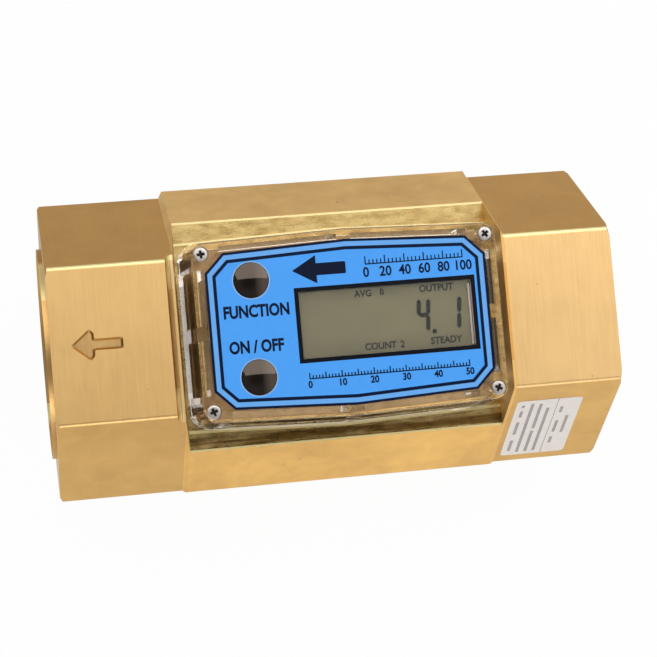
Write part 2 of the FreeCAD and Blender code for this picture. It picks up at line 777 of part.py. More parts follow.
def make_electronics():
    outer_l = d.cavity_half_length - d.case_gap
    outer_w = d.cavity_half_width - d.case_gap
    case = housing_body("electronics_case")
    outline = new_sketch(case, "XY_Plane", "CaseOutline", d.case_bottom)
    gabled(outline, outer_l, outer_w, d.cavity_corner)
    pad(case, "CaseBlock", outline, d.case_top - d.case_bottom)
    hollow = new_sketch(case, "XY_Plane", "CaseHollow", d.case_bottom + d.case_floor)
    gabled(hollow, outer_l - d.case_wall, outer_w - d.case_wall, d.cavity_corner)
    pocket(case, "CaseInside", hollow, d.case_top - d.case_bottom, upwards=True)

    board = housing_body("circuit_board")
    outline = new_sketch(board, "XY_Plane", "BoardOutline", d.board_bottom)
    fit = d.case_wall + d.board_fit
    gabled(outline, outer_l - fit, outer_w - fit, d.cavity_corner)
    pad(board, "Board", outline, d.board_thickness)

    chips = housing_body("board_components")
    outline = new_sketch(chips, "XY_Plane", "ComponentOutlines",
                         d.board_bottom - d.component_height)
    for corners in CHIP_CORNERS:
        rectangle(outline, *corners)
    circle(outline, *BUZZER)
    chips.AllowCompound = True
    pad(chips, "Components", outline, d.component_height)

    switches = housing_body("button_switches")
    switches.AllowCompound = True
    outline = new_sketch(switches, "XY_Plane", "SwitchBases", BOARD_TOP)
    plungers = new_sketch(switches, "XY_Plane", "Plungers", BOARD_TOP)
    half = d.switch_half_width
    for y in (d.upper_button_y, d.lower_button_y):
        rectangle(outline, d.button_x - half, y - half, d.button_x + half, y + half)
        circle(plungers, d.button_x, y, d.plunger_radius)
    pad(switches, "SwitchBodies", outline, d.switch_height)
    pad(switches, "SwitchPlungers", plungers, d.plunger_height)

    for label, side in (("left_coin_cell", -1), ("right_coin_cell", 1)):
        coin = new_body(label, d.housing_x + d.coin_spacing * side, d.housing_y)
        low, high = d.coin_bottom, d.coin_bottom + d.coin_thickness
        radius, cap = d.coin_radius, d.coin_radius - d.coin_step
        shoulder = low + d.coin_step_height
        turned_upright(coin, label + "Can", [
            (0, low), (cap, low), (cap, shoulder), (radius, shoulder),
            (radius, high), (0, high)])

    contacts = housing_body("battery_contacts")
    contacts.AllowCompound = True
    low = d.coin_bottom + d.coin_thickness + d.press_gap
    bend, high = low + d.contact_rise, d.board_bottom - d.press_gap
    thick = d.contact_thickness
    profile = new_sketch(contacts, "XZ_Plane", "ContactProfile")
    for side in (-1, 1):
        x = d.coin_spacing * side
        start, lift, flat, end = x - 9, x - 3, x + 4, x + 9
        polygon(profile, [
            (start, low), (lift, low), (flat, bend), (end, bend), (end, high),
            (end - thick, high), (end - thick, bend + thick), (flat, bend + thick),
            (lift, low + thick), (start, low + thick)])
    pad(contacts, "ContactStrips", profile, d.contact_width, middle=True)

    low, high = d.coil_bottom, d.coil_bottom + d.coil_height
    hole, flange = d.core_radius + d.fit, d.coil_radius + d.bobbin_flange
    tube, wall = hole + d.bobbin_wall, d.bobbin_wall
    bobbin = housing_body("coil_bobbin")
    turned_upright(bobbin, "Bobbin", [
        (hole, low), (flange, low), (flange, low + wall), (tube, low + wall),
        (tube, high - wall), (flange, high - wall), (flange, high), (hole, high)])
    inner, margin = tube + d.press_gap, wall + d.press_gap
    coil = housing_body("pickup_coil")
    turned_upright(coil, "Winding", [
        (inner, low + margin), (d.coil_radius, low + margin),
        (d.coil_radius, high - margin), (inner, high - margin)])
    core = housing_body("coil_core")
    turned_upright(core, "Core", [
        (0, low), (d.core_radius, low), (d.core_radius, high + d.core_reach),
        (0, high + d.core_reach)])


# ---- turbine ------------------------------------------------------------------------

def blade_section(radius, length):
    """Corners of one blade where it crosses a cylinder of the given radius."""
    angle = math.atan(2 * math.pi * radius / DRIVING["blade_lead"])
    half = length / 2 / math.cos(angle)
    thick = DRIVING["blade_thickness"] / 2
    flat = half * DRIVING["blade_flat_share"]
    shape = [(-half, 0), (-flat, thick), (flat, thick), (half, 0),
             (flat, -thick), (-flat, -thick)]
    return [V(a * math.cos(angle) - b * math.sin(angle),
              a * math.sin(angle) + b * math.cos(angle), radius) for a, b in shape]


def flat_face(*corners):
    return Part.Face(Part.makePolygon(list(corners) + [corners[0]]))


def blade_solid(inner, outer, length):
    """One twisted blade, built from flat facets between stations along its radius."""
    steps = int(DRIVING["blade_stations"]) - 1
    stations = [blade_section(inner + (outer - inner) * k / steps, length)
                for k in range(steps + 1)]
    faces = [flat_face(*stations[0]), flat_face(*stations[-1])]
    for low, high in zip(stations, stations[1:]):
        for k in range(len(low)):
            after = (k + 1) % len(low)
            faces.append(flat_face(low[k], low[after], high[after]))
            faces.append(flat_face(low[k], high[after], high[k]))
    return Part.Solid(Part.Shell(faces))


def make_rotor():
    """Hub with twisted blades, cut true to the rotor's outer radius."""
    length, chamfer = DRIVING["rotor_length"], DRIVING["hub_chamfer"]
    hub_r, tip_r = DRIVING["rotor_hub_radius"], DRIVING["rotor_radius"]
    bore, end = DRIVING["shaft_radius"] + DRIVING["press_gap"], length / 2
    profile = [V(-end, 0, bore), V(-end, 0, hub_r - chamfer), V(-end + chamfer, 0, hub_r),
               V(end - chamfer, 0, hub_r), V(end, 0, hub_r - chamfer), V(end, 0, bore)]
    hub = flat_face(*profile).revolve(V(0, 0, 0), V(1, 0, 0), 360)
    blade = blade_solid(hub_r - DRIVING["blade_root_depth"], tip_r + 1,
                        length - DRIVING["blade_setback"] * 2)
    count = int(DRIVING["blade_count"])
    blades = [blade.copy() for _ in range(count)]
    for k, turned_blade in enumerate(blades):
        turned_blade.rotate(V(0, 0, 0), V(1, 0, 0), 360 * k / count)
    swept = Part.makeCylinder(tip_r, length * 2, V(-length, 0, 0), V(1, 0, 0))
    wheel = hub.multiFuse(blades).common(swept).removeSplitter()
    for pin in pin_shapes(DRIVING["press_gap"]):
        wheel = wheel.cut(pin)
    rotor = doc.addObject("Part::Feature", "rotor")
    rotor.Shape = wheel
    rotor.Label = "rotor"
    place(rotor, d.rotor_x)


def pin_shapes(extra=0.0):
    """The two radial signal pins, half-way between blades and opposite each other."""
    inner, outer = DRIVING["pin_inner"], DRIVING["pin_outer"]
    angle = math.radians(180 / DRIVING["blade_count"])
    pins = []
    for side in (0, math.pi):
        out = V(0, math.cos(angle + side), math.sin(angle + side))
        pins.append(Part.makeCylinder(
            DRIVING["pin_radius"] + extra, outer - inner, out * inner, out))
    return pins


def make_signal_pins():
    pins = doc.addObject("Part::Feature", "signal_pins")
    pins.Shape = Part.makeCompound(pin_shapes())
    pins.Label = "signal_pins"
    place(pins, d.rotor_x)


def make_shaft():
    body = new_body("rotor_shaft", d.rotor_x)
    end, radius = d.shaft_half_length, d.shaft_radius
    turned(body, "Shaft", [(-end, 0), (-end, radius), (end, radius), (end, 0)])


def make_bearing(label, side):
    body = new_body(label, d.rotor_x)
    near = (d.rotor_length / 2 + d.hub_gap) * side
    far = near + d.bearing_length * side
    hole = d.shaft_radius + d.shaft_clearance
    turned(body, label + "Ring", [
        (near, hole), (far, hole), (far, d.bearing_radius), (near, d.bearing_radius)])


def make_support(label, side):
    """Vaned support: outer sleeve, straight vanes and a pointed hub for the bearing."""
    body = new_body(label, d.rotor_x)
    near = (d.rotor_length / 2 + d.hub_gap) * side
    sleeve_end = d.ring_groove * side - d.rotor_x - d.ring_play * side
    hub_end = near + d.support_hub_length * side
    inner, hub = SUPPORT_RADIUS - d.support_wall, d.rotor_hub_radius
    turned(body, label + "Sleeve", [
        (near, inner), (near, SUPPORT_RADIUS), (sleeve_end, SUPPORT_RADIUS),
        (sleeve_end, inner)])
    seat = near + d.bearing_length * side
    bearing_hole = d.bearing_radius + d.press_gap
    shaft_hole = d.shaft_radius + d.shaft_end_play / 2
    body.AllowCompound = True
    turned(body, label + "Hub", [
        (near, bearing_hole), (near, hub), (hub_end - d.nose_length * side, hub),
        (hub_end, d.nose_radius), (hub_end, 0),
        ((d.shaft_half_length + d.shaft_end_play) * side, 0),
        ((d.shaft_half_length + d.shaft_end_play) * side, shaft_hole),
        (seat, shaft_hole), (seat, bearing_hole)])
    vane = new_sketch(body, "XZ_Plane", label + "Vane")
    start = near + d.vane_setback * side
    stop = start + d.vane_length * side
    bite = d.vane_bite
    polygon(vane, [(start, hub - bite), (start, inner + bite), (stop, inner + bite),
                   (stop - d.vane_slant * side, hub - bite)])
    fin = pad(body, label + "Fin", vane, d.vane_thickness, middle=True)
    body.AllowCompound = True
    fins = body.newObject("PartDesign::PolarPattern", label + "Fins")
    fins.Originals = [fin]
    fins.Axis = (vane, ["H_Axis"])
    fins.Angle = 360
    fins.setExpression("Occurrences", "Sizes.vane_count")
    body.Tip = fins


def make_retaining_ring(label, side):
    """Spring ring with a gap and two lugs, snapped into its groove."""
    body = new_body(label)
    middle = (d.ring_groove + d.ring_thickness / 2) * side
    thick = d.ring_thickness - d.ring_play
    outer, inner = d.bore_radius + d.groove_depth - d.ring_slack, d.bore_radius - d.ring_reach
    through = d.ring_thickness * 2

    outline = new_sketch(body, "YZ_Plane", label + "Outline", middle)
    circle(outline, 0, 0, outer)
    circle(outline, 0, 0, inner)
    pad(body, label + "Ring", outline, thick, middle=True)

    gap = new_sketch(body, "YZ_Plane", label + "Gap", middle)
    half, low = d.ring_gap / 2, d.bore_radius * -1.2
    polygon(gap, [(half * -1, d.lug_height * 0.8), (half, d.lug_height * 0.8),
                  (half, low), (half * -1, low)])
    pocket(body, label + "Opening", gap, through, middle=True)

    lugs = new_sketch(body, "YZ_Plane", label + "LugOutline", middle)
    eyes = new_sketch(body, "YZ_Plane", label + "Eyes", middle)
    for turn in (-1, 1):
        circle(lugs, d.lug_spread * turn, d.lug_height, d.lug_radius)
        circle(eyes, d.lug_spread * turn, d.lug_height, d.lug_eye_radius)
    pad(body, label + "Lugs", lugs, thick, middle=True)
    pocket(body, label + "PliersHoles", eyes, through, middle=True)


# ---- build, check and write ---------------------------------------------------------

make_meter_body()
make_display_housing()
make_display_group()
make_button("upper_button", d.upper_button_y)
make_button("lower_button", d.lower_button_y)
make_gasket()
make_housing_screws()
make_electronics()
make_rotor()
make_signal_pins()
make_shaft()
make_bearing("inlet_bearing", 1)
make_bearing("outlet_bearing", -1)
make_support("inlet_support", 1)
make_support("outlet_support", -1)
make_retaining_ring("inlet_retaining_ring", 1)
make_retaining_ring("outlet_retaining_ring", -1)
doc.recompute()

for obj in doc.Objects:
    if "Invalid" in obj.State or "Error" in obj.State:
        raise RuntimeError("%s failed: %s" % (obj.Label, obj.State))
for part in SUB_PARTS:
    shape = part.Shape
    if shape.isNull() or not shape.isValid():
        raise RuntimeError(part.Label + " has no valid shape")
    box = shape.BoundBox
    print("%-24s solids %d volume %9.1f  x %7.2f..%7.2f  y %7.2f..%7.2f  z %6.2f..%6.2f" % (
        part.Label, len(shape.Solids), shape.Volume,
        box.XMin, box.XMax, box.YMin, box.YMax, box.ZMin, box.ZMax))
for part in SUB_PARTS:
    part.Shape.exportStep("parts/%s.step" % part.Label)
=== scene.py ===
import bpy
import math
from mathutils import Matrix, Vector


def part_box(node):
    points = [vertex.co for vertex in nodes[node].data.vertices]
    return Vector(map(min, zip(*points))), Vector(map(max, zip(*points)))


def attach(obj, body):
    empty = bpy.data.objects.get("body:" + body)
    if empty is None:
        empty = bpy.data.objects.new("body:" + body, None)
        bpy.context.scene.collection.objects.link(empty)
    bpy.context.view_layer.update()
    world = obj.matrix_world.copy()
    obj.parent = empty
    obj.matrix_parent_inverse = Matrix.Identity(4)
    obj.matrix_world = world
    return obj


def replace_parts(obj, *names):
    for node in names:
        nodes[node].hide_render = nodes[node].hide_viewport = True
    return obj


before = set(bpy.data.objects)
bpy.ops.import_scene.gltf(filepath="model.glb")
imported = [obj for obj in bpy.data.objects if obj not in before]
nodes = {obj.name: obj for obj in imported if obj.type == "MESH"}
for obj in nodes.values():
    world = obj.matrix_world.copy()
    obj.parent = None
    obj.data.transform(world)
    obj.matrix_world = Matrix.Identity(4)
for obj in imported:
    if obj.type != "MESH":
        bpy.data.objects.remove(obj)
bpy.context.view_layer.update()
mm = 0.001  # sizes are written in millimetres
print("frame loaded:", len(nodes), "parts")


# Shading helpers: they start a finish, set a socket, or add nodes and hand back the output

def newFinish(name, **sockets):
    finish = bpy.data.materials.new(name)
    finish.use_nodes = True
    shader = finish.node_tree.nodes["Principled BSDF"]
    for socket, value in sockets.items():
        setSocket(shader, socket.replace("_", " "), value)
    return finish, finish.node_tree, shader


def setSocket(node, socket, value):
    slot = node.inputs[socket]
    if hasattr(value, "is_output"):
        node.id_data.links.new(value, slot)
    elif slot.type == "RGBA" and len(value) == 3:
        slot.default_value = (*value, 1.0)
    else:
        slot.default_value = value


def addNode(tree, kind, **sockets):
    node = tree.nodes.new("ShaderNode" + kind)
    for socket, value in sockets.items():
        setSocket(node, socket, value)
    return node


def calc(tree, operation, first, second=None):
    node = addNode(tree, "Math")
    node.operation = operation
    setSocket(node, 0, first)
    if second is not None:
        setSocket(node, 1, second)
    return node.outputs[0]


def total(tree, operation, values):
    result = values[0]
    for value in values[1:]:
        result = calc(tree, operation, result, value)
    return result


def places(tree):
    return addNode(tree, "TexCoord").outputs["Object"]


def split(tree, vector):
    return list(addNode(tree, "SeparateXYZ", Vector=vector).outputs)


def stretched(tree, scale):
    return addNode(tree, "Mapping", Vector=places(tree), Scale=scale).outputs[0]


def grain(tree, vector, scale=1.0, detail=2.0, warp=0.0):
    node = addNode(tree, "TexNoise", Vector=vector, Scale=scale, Detail=detail, Distortion=warp)
    return node.outputs["Fac"]


def spots(tree, scale):
    return addNode(tree, "TexVoronoi", Vector=places(tree), Scale=scale).outputs["Distance"]


def remap(tree, value, low, high, toLow=0.0, toHigh=1.0):
    node = addNode(tree, "MapRange", Value=value)
    for socket, amount in (("From Min", low), ("From Max", high), ("To Min", toLow), ("To Max", toHigh)):
        setSocket(node, socket, amount)
    return node.outputs[0]


def blendColour(tree, share, first, second):
    node = addNode(tree, "Mix")
    node.data_type = "RGBA"
    setSocket(node, 0, share)
    setSocket(node, 6, first)
    setSocket(node, 7, second)
    return node.outputs[2]


def blendValue(tree, share, first, second):
    node = addNode(tree, "Mix")
    setSocket(node, 0, share)
    setSocket(node, 2, first)
    setSocket(node, 3, second)
    return node.outputs[0]


def between(tree, value, low, high, soft=0.06 * mm):
    rise = remap(tree, value, low - soft, low + soft)
    fall = remap(tree, value, high - soft, high + soft, 1.0, 0.0)
    return calc(tree, "MULTIPLY", rise, fall)


def addBump(tree, shader, height, strength, distance):
    bump = addNode(tree, "Bump", Height=height, Strength=strength, Distance=distance)
    setSocket(shader, "Normal", bump.outputs[0])


def letLampsThrough(tree, shader, tint):
    # lamps shine through clear plastic, tinted, so what lies under it stays lit
    clear = addNode(tree, "BsdfTransparent", Color=tint)
    ray = addNode(tree, "LightPath")
    mix = addNode(tree, "MixShader")
    setSocket(mix, 0, ray.outputs["Is Shadow Ray"])
    setSocket(mix, 1, shader.outputs[0])
    setSocket(mix, 2, clear.outputs[0])
    output = tree.nodes["Material Output"]
    setSocket(output, "Surface", mix.outputs[0])


def dress(names, finish):
    for name in names:
        for slot in nodes[name].material_slots:
            slot.material = finish


# Brass: brushed round the ends, lengthwise tool lines on the block, milled saddle floor

brass = {
    # painted light and shade: the far end is paler, the upper slanted flats darker, the lower slanted flats
    # and the block's end walls lighter
    "endTone": (0.92, 0.60, 0.245),
    "farEndLightTone": (1.0, 0.67, 0.30),
    "upperSlantShadeTone": (0.66, 0.375, 0.10),
    "endLowerSlantLightTone": (0.80, 0.50, 0.165),
    "blockTone": (0.94, 0.61, 0.225),
    "blockLowerSlantLightTone": (1.0, 0.62, 0.19),
    "floorTone": (0.88, 0.65, 0.27),
    "deepTone": (0.45, 0.24, 0.07),
    # painted highlight tone for the edge bands and bright lines
    "highlightTone": (1.0, 0.84, 0.42),
    "wallLightTone": (1.0, 0.72, 0.32),
    # painted reflection of the housing: dark streaks on the low strip
    "reflectionStreakTone": (0.20, 0.10, 0.018),
    "mottleTone": (0.50, 0.31, 0.10),
    "speckTone": (0.10, 0.055, 0.02),
    # painted shade tones for the arrow recess and the step wall
    "arrowShadeTone": (0.26, 0.14, 0.045),
    "stepShadeTone": (0.30, 0.16, 0.05),
    "arrow": (-80.0 * mm, -52.0 * mm),
    "arrowReach": 10 * mm,
    "arrowLow": 74 * mm,
    "step": (-46.5 * mm, -40.0 * mm),
    "stepShadeShare": 0.75,
    "endFlat": 77.35 * mm,
    "blockStart": -45.3 * mm,
    "blockEnd": 49.9 * mm,
    "floorHeight": 60.35 * mm,
    "floorSpread": 0.4 * mm,
    "floorMiddle": 0.7 * mm,
    "floorReach": 33.14 * mm,
    "rimWidth": 0.6 * mm,
    "roundingReach": 14 * mm,
    "lowStrip": (-28.2 * mm, -29.0 * mm),
    "endEdge": 22.1 * mm,
    "housing": (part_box("display_housing")[0][1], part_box("display_housing")[1][1]),
    "housingMiddle": 2.6 * mm,
    "housingGable": 1.5 / 45.6,
}


def makeBrass():
    finish, tree, shader = newFinish("satinBrass", Metallic=1.0)
    x, y, z = split(tree, places(tree))
    nx, ny, nz = split(tree, addNode(tree, "TexCoord").outputs["Normal"])
    onBlock = calc(tree, "MULTIPLY", calc(tree, "GREATER_THAN", x, brass["blockStart"]),
                   calc(tree, "LESS_THAN", x, brass["blockEnd"]))
    offBlock = calc(tree, "SUBTRACT", 1.0, onBlock)
    faceUp = calc(tree, "GREATER_THAN", nz, 0.9)
    nearFloor = calc(tree, "COMPARE", z, brass["floorHeight"])
    nearFloor.node.inputs[2].default_value = brass["floorSpread"]
    inSaddle = total(tree, "MULTIPLY", [onBlock, faceUp, nearFloor])
    endFace = calc(tree, "GREATER_THAN", calc(tree, "ABSOLUTE", nx), 0.8)
    slanted = remap(tree, nz, 0.60, 0.72, 1.0, 0.0)
    upper = remap(tree, ny, -0.1, 0.1)
    lower = calc(tree, "SUBTRACT", 1.0, upper)
    aside = calc(tree, "ABSOLUTE", y)

    roundLines = grain(tree, stretched(tree, (3000, 60, 60)))
    roundFine = grain(tree, stretched(tree, (7000, 160, 160)), detail=1.0)
    longLines = grain(tree, stretched(tree, (45, 2600, 2600)))
    longFine = grain(tree, stretched(tree, (140, 7000, 7000)), detail=1.0)
    swirl = grain(tree, stretched(tree, (240, 800, 300)), detail=5.0, warp=0.5)
    lines = blendValue(tree, onBlock, roundLines, longLines)
    lines = blendValue(tree, inSaddle, lines, swirl)
    fine = blendValue(tree, onBlock, roundFine, longFine)
    quiet = calc(tree, "SUBTRACT", 1.0, calc(tree, "MULTIPLY", slanted, 0.8))

    cloud = grain(tree, places(tree), 110, 5.0, 0.8)
    wide = grain(tree, places(tree), 34, 3.0, 0.6)
    lineShade = calc(tree, "MULTIPLY", remap(tree, lines, 0.25, 0.75, 0.0, 0.15), quiet)
    blotch = calc(tree, "ADD", remap(tree, cloud, 0.35, 0.65, 0.0, 0.13),
                  remap(tree, wide, 0.35, 0.65, 0.0, 0.15))
    onSlant = calc(tree, "ADD", 0.5, calc(tree, "MULTIPLY", slanted, 0.9))
    blotch = calc(tree, "MULTIPLY", blotch, onSlant)
    shade = calc(tree, "ADD", lineShade, blotch)
    # painted light and shade: a paler far end, darker upper slants, lighter lower slants and block end walls
    farEnd = calc(tree, "GREATER_THAN", x, 0.0)
    ends = blendColour(tree, farEnd, brass["endTone"], brass["farEndLightTone"])
    ends = blendColour(tree, calc(tree, "MULTIPLY", slanted, upper), ends, brass["upperSlantShadeTone"])
    ends = blendColour(tree, calc(tree, "MULTIPLY", slanted, lower), ends, brass["endLowerSlantLightTone"])
    block = blendColour(tree, calc(tree, "MULTIPLY", slanted, lower), brass["blockTone"], brass["blockLowerSlantLightTone"])
    wall = calc(tree, "MULTIPLY", onBlock, endFace)
    block = blendColour(tree, wall, block, brass["wallLightTone"])
    tone = blendColour(tree, onBlock, ends, block)
    mottle = grain(tree, stretched(tree, (190, 420, 200)), detail=6.0, warp=0.3)
    milled = blendColour(tree, remap(tree, mottle, 0.40, 0.66, 0.0, 0.75),
                         brass["floorTone"], brass["mottleTone"])
    tone = blendColour(tree, inSaddle, tone, milled)
    tone = blendColour(tree, shade, tone, brass["deepTone"])

    # painted highlights: pale bands on the rounded top edges and along the ends' top edges, lines on the
    # saddle floor's borders and beside the housing; painted shade darkens the arrow and the outlet step's
    # wall; dark streaks on the low strip are a painted reflection of the housing
    roundingHighlight = total(tree, "MULTIPLY", [between(tree, nz, 0.58, 0.97, 0.03), upper,
                                        calc(tree, "GREATER_THAN", aside, brass["roundingReach"])])
    topEdgeHighlight = total(tree, "MULTIPLY", [faceUp, offBlock, calc(tree, "GREATER_THAN", y, brass["endEdge"])])
    # painted highlight lines along the saddle floor's borders
    rim = calc(tree, "COMPARE", calc(tree, "ABSOLUTE", calc(tree, "SUBTRACT", y, brass["floorMiddle"])),
               brass["floorReach"])
    rim.node.inputs[2].default_value = brass["rimWidth"]
    fall = calc(tree, "MULTIPLY", calc(tree, "ABSOLUTE", calc(tree, "SUBTRACT", x, brass["housingMiddle"])),
                brass["housingGable"])
    housingEdgeHighlight = calc(tree, "MAXIMUM",
                  between(tree, calc(tree, "SUBTRACT", y, fall),
                          brass["housing"][0] - 0.55 * mm, brass["housing"][0] + 0.3 * mm),
                  between(tree, calc(tree, "ADD", y, fall),
                          brass["housing"][1] - 0.3 * mm, brass["housing"][1] + 0.35 * mm))
    paintedHighlight = total(tree, "MAXIMUM", [roundingHighlight, topEdgeHighlight, calc(tree, "MULTIPLY", rim, inSaddle),
                                     calc(tree, "MULTIPLY", housingEdgeHighlight, inSaddle)])
    tone = blendColour(tree, paintedHighlight, tone, brass["highlightTone"])
    # painted shade on the arrow recess's walls and floor
    byArrow = calc(tree, "LESS_THAN", aside, brass["arrowReach"])
    arrowWallShade = total(tree, "MULTIPLY", [between(tree, nz, 0.3, 0.97, 0.02), byArrow,
                                      calc(tree, "GREATER_THAN", z, brass["arrowLow"]),
                                      between(tree, x, brass["arrow"][0], brass["arrow"][1]), 0.5])
    tone = blendColour(tree, arrowWallShade, tone, brass["arrowShadeTone"])
    arrowFloorShade = total(tree, "MULTIPLY", [faceUp, byArrow,
                                    between(tree, z, brass["arrowLow"], brass["endFlat"] - 0.3 * mm),
                                    between(tree, x, brass["arrow"][0], brass["arrow"][1]),
                                    remap(tree, cloud, 0.3, 0.7, 0.18, 0.42)])
    tone = blendColour(tree, arrowFloorShade, tone, brass["arrowShadeTone"])
    # painted shade on the outlet step's wall
    step = total(tree, "MULTIPLY", [remap(tree, nx, 0.25, 0.5), calc(tree, "LESS_THAN", z, brass["endFlat"]),
                                    between(tree, x, brass["step"][0], brass["step"][1])])
    tone = blendColour(tree, calc(tree, "MULTIPLY", step, brass["stepShadeShare"]), tone, brass["stepShadeTone"])
    # painted reflection of the housing: dark streaks on the saddle floor's low strip
    drag = grain(tree, stretched(tree, (26, 520, 100)), detail=4.0, warp=0.8)
    lowStrip = remap(tree, y, brass["lowStrip"][0], brass["lowStrip"][1])
    reflectionStreak = total(tree, "MULTIPLY", [remap(tree, drag, 0.38, 0.56), inSaddle, lowStrip,
                                      calc(tree, "SUBTRACT", 1.0, paintedHighlight), 0.9])
    tone = blendColour(tree, reflectionStreak, tone, brass["reflectionStreakTone"])
    pits = remap(tree, spots(tree, 210), 0.035, 0.09, 1.0, 0.0)
    rare = remap(tree, grain(tree, places(tree), 95, 1.0), 0.58, 0.64)
    speck = calc(tree, "MULTIPLY", pits, rare)
    tone = blendColour(tree, calc(tree, "MULTIPLY", speck, 0.75), tone, brass["speckTone"])
    setSocket(shader, "Base Color", tone)

    rough = remap(tree, fine, 0.3, 0.7, 0.40, 0.50)
    rough = blendValue(tree, inSaddle, rough, remap(tree, swirl, 0.3, 0.7, 0.22, 0.36))
    rough = blendValue(tree, endFace, rough, 0.30)
    rough = blendValue(tree, wall, rough, 0.55)
    rough = blendValue(tree, paintedHighlight, rough, 0.45)
    setSocket(shader, "Roughness", rough)
    height = calc(tree, "SUBTRACT", calc(tree, "ADD", calc(tree, "MULTIPLY", lines, quiet), fine), speck)
    addBump(tree, shader, height, 0.35, 0.02 * mm)
    return finish


# Clear housing: smoky moulded plastic, polished, darker through its thick parts

clearPlastic = {
    "tone": (0.99, 0.97, 0.94),
    "lampTint": (0.97, 0.94, 0.88),
    "shine": (1.0, 0.86, 0.64),
    "smoke": (0.66, 0.50, 0.36),
    "density": 14.0,
    "bend": 1.49,
}


def makeClearPlastic():
    finish, tree, shader = newFinish(
        "clearSmoke", Base_Color=clearPlastic["tone"], Transmission_Weight=1.0,
        IOR=clearPlastic["bend"], Specular_Tint=clearPlastic["shine"])
    haze = grain(tree, places(tree), 160, 3.0)
    setSocket(shader, "Roughness", remap(tree, haze, 0.35, 0.7, 0.015, 0.07))
    flow = grain(tree, stretched(tree, (60, 110, 60)), detail=1.0)
    addBump(tree, shader, flow, 0.12, 0.25 * mm)
    letLampsThrough(tree, shader, clearPlastic["lampTint"])
    depth = addNode(tree, "VolumeAbsorption", Color=clearPlastic["smoke"], Density=clearPlastic["density"])
    setSocket(tree.nodes["Material Output"], "Volume", depth.outputs[0])
    return finish


def makeClearLens():
    finish, tree, shader = newFinish(
        "clearLens", Base_Color=(0.97, 0.98, 0.96), Transmission_Weight=1.0, IOR=1.49,
        Specular_IOR_Level=0.3)
    dust = remap(tree, spots(tree, 900), 0.02, 0.05, 1.0, 0.0)
    scuffs = grain(tree, stretched(tree, (300, 900, 300)), detail=3.0)
    setSocket(shader, "Roughness", calc(
        tree, "ADD", remap(tree, scuffs, 0.5, 0.8, 0.01, 0.05), calc(tree, "MULTIPLY", dust, 0.05)))
    letLampsThrough(tree, shader, (0.95, 0.96, 0.94))
    return finish


# Printed face: field, band and border lines follow the cut-corner, gabled outline

facePrint = {
    "middle": (2.6 * mm, 0.45 * mm),
    "halfLength": 40.1 * mm,
    "halfWidth": 21.9 * mm,
    "gable": 1.5 * mm,
    "cutCorner": 5.4 * mm,
    "edgeLine": 0.72 * mm,
    "bandEnd": 2.05 * mm,
    "borderEnd": 3.0 * mm,
    "field": (0.078, 0.37, 0.96),
    "band": (0.15, 0.42, 0.88),
    "navy": (0.0005, 0.006, 0.032),
    "buttons": ((-24.7 * mm, 14.2 * mm), (-24.7 * mm, -13.0 * mm)),
    # painted highlight ring round each button hole
    "buttonHighlightRing": (5.2 * mm, 5.45 * mm),
    "ringHighlightTone": (0.42, 0.62, 0.86),
}


def makeFacePrint():
    finish, tree, shader = newFinish("facePrint", Specular_IOR_Level=0.14)
    x, y = split(tree, places(tree))[:2]
    u = calc(tree, "ABSOLUTE", calc(tree, "SUBTRACT", x, facePrint["middle"][0]))
    v = calc(tree, "ABSOLUTE", calc(tree, "SUBTRACT", y, facePrint["middle"][1]))
    flatEnd = facePrint["halfLength"] - facePrint["cutCorner"]
    slope = facePrint["gable"] / flatEnd
    peak = facePrint["halfWidth"] + facePrint["gable"]
    toEnd = calc(tree, "SUBTRACT", facePrint["halfLength"], u)
    toSide = calc(tree, "SUBTRACT", calc(tree, "SUBTRACT", peak, v), calc(tree, "MULTIPLY", u, slope))
    toCorner = calc(tree, "SUBTRACT", flatEnd + facePrint["halfWidth"], calc(tree, "ADD", u, v))
    toCorner = calc(tree, "MULTIPLY", toCorner, math.sqrt(0.5))
    inward = total(tree, "MINIMUM", [toEnd, toSide, toCorner])

    ink = grain(tree, places(tree), 420, 3.0)
    fade = grain(tree, places(tree), 30, 2.0)
    field = blendColour(tree, remap(tree, fade, 0.3, 0.7, 0.0, 0.16), facePrint["field"], (0.10, 0.40, 0.95))
    field = blendColour(tree, remap(tree, ink, 0.4, 0.8, 0.0, 0.10), field, (0.02, 0.16, 0.55))
    band = blendColour(tree, remap(tree, ink, 0.4, 0.8, 0.0, 0.10), facePrint["band"], (0.05, 0.22, 0.60))
    tone = blendColour(tree, remap(tree, inward, facePrint["borderEnd"] - 0.06 * mm,
                                   facePrint["borderEnd"] + 0.06 * mm), facePrint["navy"], field)
    tone = blendColour(tree, between(tree, inward, facePrint["edgeLine"], facePrint["bandEnd"]), tone, band)
    # a pale ring round each button hole is a painted highlight
    for middle in facePrint["buttons"]:
        across = calc(tree, "SUBTRACT", x, middle[0])
        along = calc(tree, "SUBTRACT", y, middle[1])
        reach = calc(tree, "SQRT", calc(tree, "ADD", calc(tree, "POWER", across, 2.0),
                                        calc(tree, "POWER", along, 2.0)))
        ring = remap(tree, reach, *facePrint["buttonHighlightRing"], 0.8, 0.0)
        tone = blendColour(tree, ring, tone, facePrint["ringHighlightTone"])
    setSocket(shader, "Base Color", tone)
    setSocket(shader, "Roughness", remap(tree, ink, 0.3, 0.7, 0.28, 0.40))
    addBump(tree, shader, ink, 0.08, 0.02 * mm)
    return finish


# Plain moulded, plated and ground finishes share one recipe with their own figures

